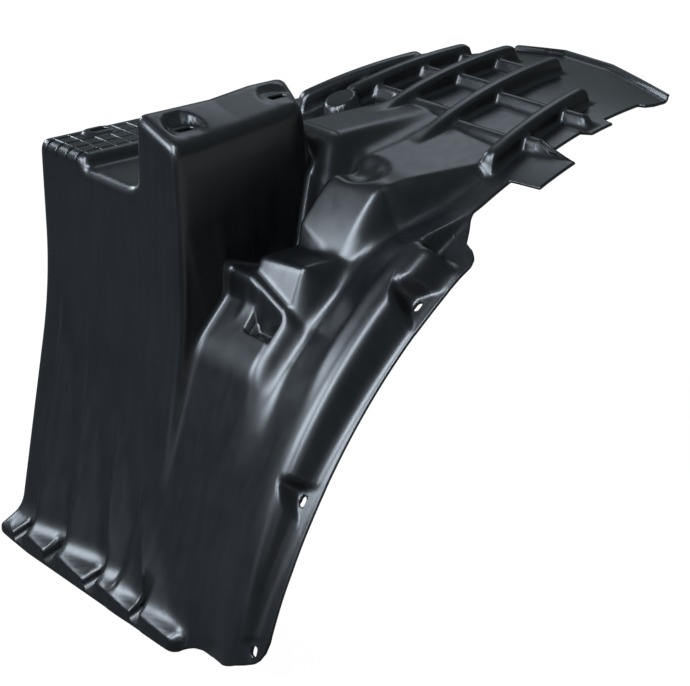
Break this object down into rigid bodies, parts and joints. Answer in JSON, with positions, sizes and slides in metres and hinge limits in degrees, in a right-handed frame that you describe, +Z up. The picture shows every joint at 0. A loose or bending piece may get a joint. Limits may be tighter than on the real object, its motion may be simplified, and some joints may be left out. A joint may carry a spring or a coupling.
{
  "type": "wheel arch liner",
  "caption": "Moulded plastic truck wheel arch liner with a ribbed crown, a slotted tower, a gridded ledge, a fluted front wall and a fixing edge.",
  "frame": {"origin": "middle of the two slots in the tower's pads, on the pads' level", "axes": "+Z up, along the slots' screws; +X along the vehicle, over the wheel towards the far tip; -Y towards the outer fixing edge"},
  "size_m": [0.7208, 0.503, 0.5581],
  "materials": {
    "black_plastic": "satin moulded polypropylene with a fine grain"
  },
  "bodies": {
    "root": {"arch_liner": "black_plastic"}
  },
  "joints": []
}
